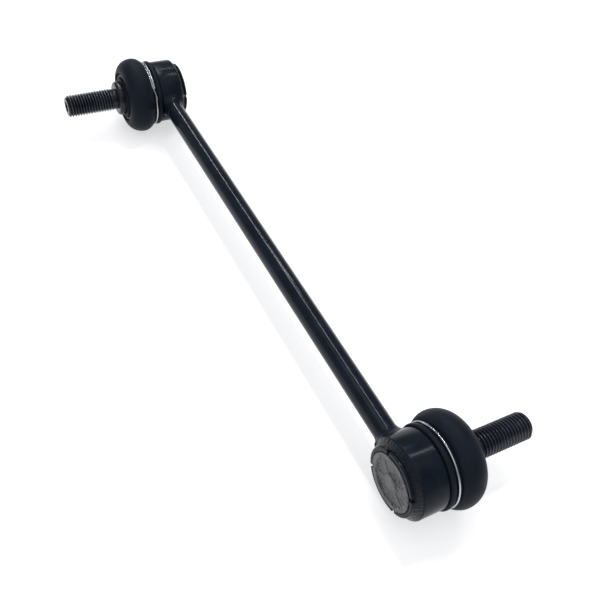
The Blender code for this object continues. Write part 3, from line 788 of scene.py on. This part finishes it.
# Clamp rings: bright zinc-plated spring wire round each boot's skirt.
# The wire goes round a little more than once, and its second end steps up to lie beside the first.
CLAMP_WIRE_RADIUS = 0.46
CLAMP_RADIUS = 17.2
CLAMP_HEIGHT = 8.95
CLAMP_OVERLAP = 70 / 360
CLAMP_TURNS = 1 + CLAMP_OVERLAP
CLAMP_STEPS = 215
CLAMP_STARTS = {"a": math.radians(40), "b": math.radians(250)}
STEP_UP = 1.0
STEP_UP_START = 0.96
STEP_UP_LENGTH = 0.06
CLIMB = 3.0
ZINC_COLOR = (0.50, 0.52, 0.55)
zinc = finish("bright_zinc", ZINC_COLOR, 0.26, tone=0.16, metallic=1.0)
add_grain(zinc, 1400.0, 0.002, detail=1.0)
upright = Matrix.Rotation(math.pi / 2, 4, "X")
for end, side in JOINTS.items():
    ring = bmesh.new()
    bmesh.ops.create_circle(
        ring,
        cap_ends=True,
        segments=16,
        radius=CLAMP_WIRE_RADIUS * MM,
        matrix=Matrix.Translation((CLAMP_RADIUS * MM, 0, 0)) @ upright,
    )
    # The wire is wound as a wide spring first, so that each point's turn can be told from its height.
    bmesh.ops.spin(
        ring,
        geom=ring.faces[:],
        axis=(0, 0, 1),
        cent=(0, 0, 0),
        dvec=(0, 0, CLIMB * CLAMP_TURNS / CLAMP_STEPS * MM),
        angle=math.tau * CLAMP_TURNS,
        steps=CLAMP_STEPS,
    )
    for vert in ring.verts:
        share = math.atan2(vert.co.y, vert.co.x) / math.tau
        rounds = share + round(vert.co.z / MM / CLIMB - share)
        height = CLAMP_HEIGHT + STEP_UP * eased((rounds - STEP_UP_START) / STEP_UP_LENGTH)
        vert.co.z += (height - rounds * CLIMB) * MM
    ring.transform(at_joint(side) @ Matrix.Rotation(CLAMP_STARTS[end], 4, "Z"))
    piece("clamp_ring_" + end, ring, zinc, "link", 60.0)

# Spring rings: wire rings that hold each boot's small end, in the valley beside it.
# Plain spring steel, its colour darkened as painted shade for the valley it lies in.
SPRING_WIRE_RADIUS = 0.58
SPRING_RADIUS = 11.9
SPRING_HEIGHT = 22.3
# Painted shade: the steel is coloured far darker than bare spring steel, to dim its reflections in the
# valley.
SPRING_SHADED_COLOR = (0.07, 0.074, 0.084)
spring_steel = finish("spring_steel", SPRING_SHADED_COLOR, 0.42, tone=0.3, metallic=1.0)
add_grain(spring_steel, 1200.0, 0.02)
for end, side in JOINTS.items():
    wire = bmesh.new()
    bmesh.ops.create_circle(
        wire,
        segments=18,
        radius=SPRING_WIRE_RADIUS * MM,
        matrix=Matrix.Translation((SPRING_RADIUS * MM, 0, SPRING_HEIGHT * MM)) @ upright,
    )
    bmesh.ops.spin(
        wire,
        geom=wire.verts[:] + wire.edges[:],
        axis=(0, 0, 1),
        cent=(0, 0, 0),
        angle=math.tau,
        steps=128,
        use_merge=True,
    )
    wire.transform(at_joint(side))
    piece("spring_ring_" + end, wire, spring_steel, "boot_lip_" + end)

# Lip rings: plain steel sleeves moulded into each boot's small end.
# They slide on the stud's boot seat and keep the rubber off it.
SLEEVE_RADIUS = LIP_BORE_RADIUS - GAP
SLEEVE_BORE_RADIUS = BOOT_SEAT_RADIUS + GAP
SLEEVE_FLANGE_RADIUS = 9.8
SLEEVE_FLANGE_THICKNESS = 0.9
SLEEVE_COLOR = (0.30, 0.31, 0.33)
lip_steel = finish("lip_steel", SLEEVE_COLOR, 0.36, tone=0.3, metallic=1.0)
add_grain(lip_steel, 1200.0, 0.02)
for end, side in JOINTS.items():
    flange_top = ROOF - GAP
    sleeve = turned(
        [
            (SLEEVE_BORE_RADIUS, LIP_TOP, 0.15),
            (SLEEVE_RADIUS, LIP_TOP, 0.15),
            (SLEEVE_RADIUS, flange_top, 0.1),
            (SLEEVE_FLANGE_RADIUS, flange_top, 0.15),
            (SLEEVE_FLANGE_RADIUS, flange_top - SLEEVE_FLANGE_THICKNESS, 0.15),
            (SLEEVE_BORE_RADIUS, flange_top - SLEEVE_FLANGE_THICKNESS, 0.15),
        ],
        96,
    )
    sleeve.transform(at_joint(side))
    piece("lip_ring_" + end, sleeve, lip_steel, "boot_lip_" + end)

# Hidden solids keep the finish of the piece that stands for them.
for name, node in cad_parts.items():
    node.data.materials.clear()
    node.data.materials.append(bpy.data.objects[name + "_skin"].data.materials[0])
